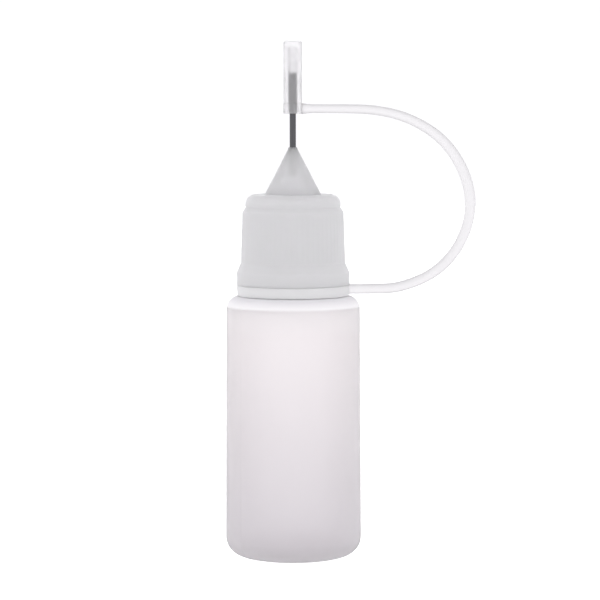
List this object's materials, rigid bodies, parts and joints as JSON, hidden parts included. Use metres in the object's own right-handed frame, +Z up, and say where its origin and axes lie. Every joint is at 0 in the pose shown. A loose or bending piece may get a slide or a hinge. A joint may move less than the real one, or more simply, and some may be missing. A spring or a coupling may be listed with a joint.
{
  "type": "glue applicator bottle",
  "caption": "Small needle-tip squeeze bottle for glue, with a screw cap, a cone nozzle and a push-on needle sleeve on a flexible tether.",
  "frame": {"origin": "centre of the base, on the surface that the bottle stands on", "axes": "+Z up the common axis of the bottle, the screw cap and the needle; the tether's strap loops out on the +X side, in the XZ plane"},
  "size_m": [0.0412, 0.0224, 0.0847],
  "materials": {
    "bottle_plastic": "milky translucent low-density polyethylene, blow moulded, satin",
    "nozzle_plastic": "milky translucent polyethylene, thick walled",
    "cap_plastic": "milky translucent polyethylene, fine ribbed grip",
    "tether_plastic": "soft translucent polyethylene",
    "sleeve_plastic": "clear milky polyethylene, the needle shows through",
    "needle_steel": "drawn stainless tube, blunt cut"
  },
  "bodies": {
    "bottle": {"bottle": "bottle_plastic"},
    "nozzle": {"nozzle_plug": "nozzle_plastic", "needle": "needle_steel"},
    "screw_cap": {"screw_cap": "cap_plastic"},
    "tether": {"tether_ring": "tether_plastic", "tether_strap": "tether_plastic"},
    "needle_sleeve": {"needle_sleeve": "sleeve_plastic"}
  },
  "joints": [
    {"name": "cap_lift", "type": "slide", "parent": "bottle", "child": "nozzle", "axis": [0, 0, 1], "range_m": [0, 0.00315]},
    {"name": "cap_turn", "type": "hinge", "parent": "nozzle", "child": "screw_cap", "pos_m": [0, 0, 0.05215], "axis": [0, 0, 1], "range_deg": [0, 540]},
    {"name": "tether_swivel", "type": "hinge", "parent": "nozzle", "child": "tether", "pos_m": [0, 0, 0.04395], "axis": [0, 0, 1], "continuous": true},
    {"name": "sleeve_slide", "type": "slide", "parent": "tether", "child": "needle_sleeve", "axis": [0, 0, 1], "range_m": [-0.004, 0.008], "deforming": ["tether_strap"]}
  ],
  "couplings": [
    {"joint": "cap_lift", "follows": "cap_turn", "m_per_rad": 0.00033423}
  ]
}
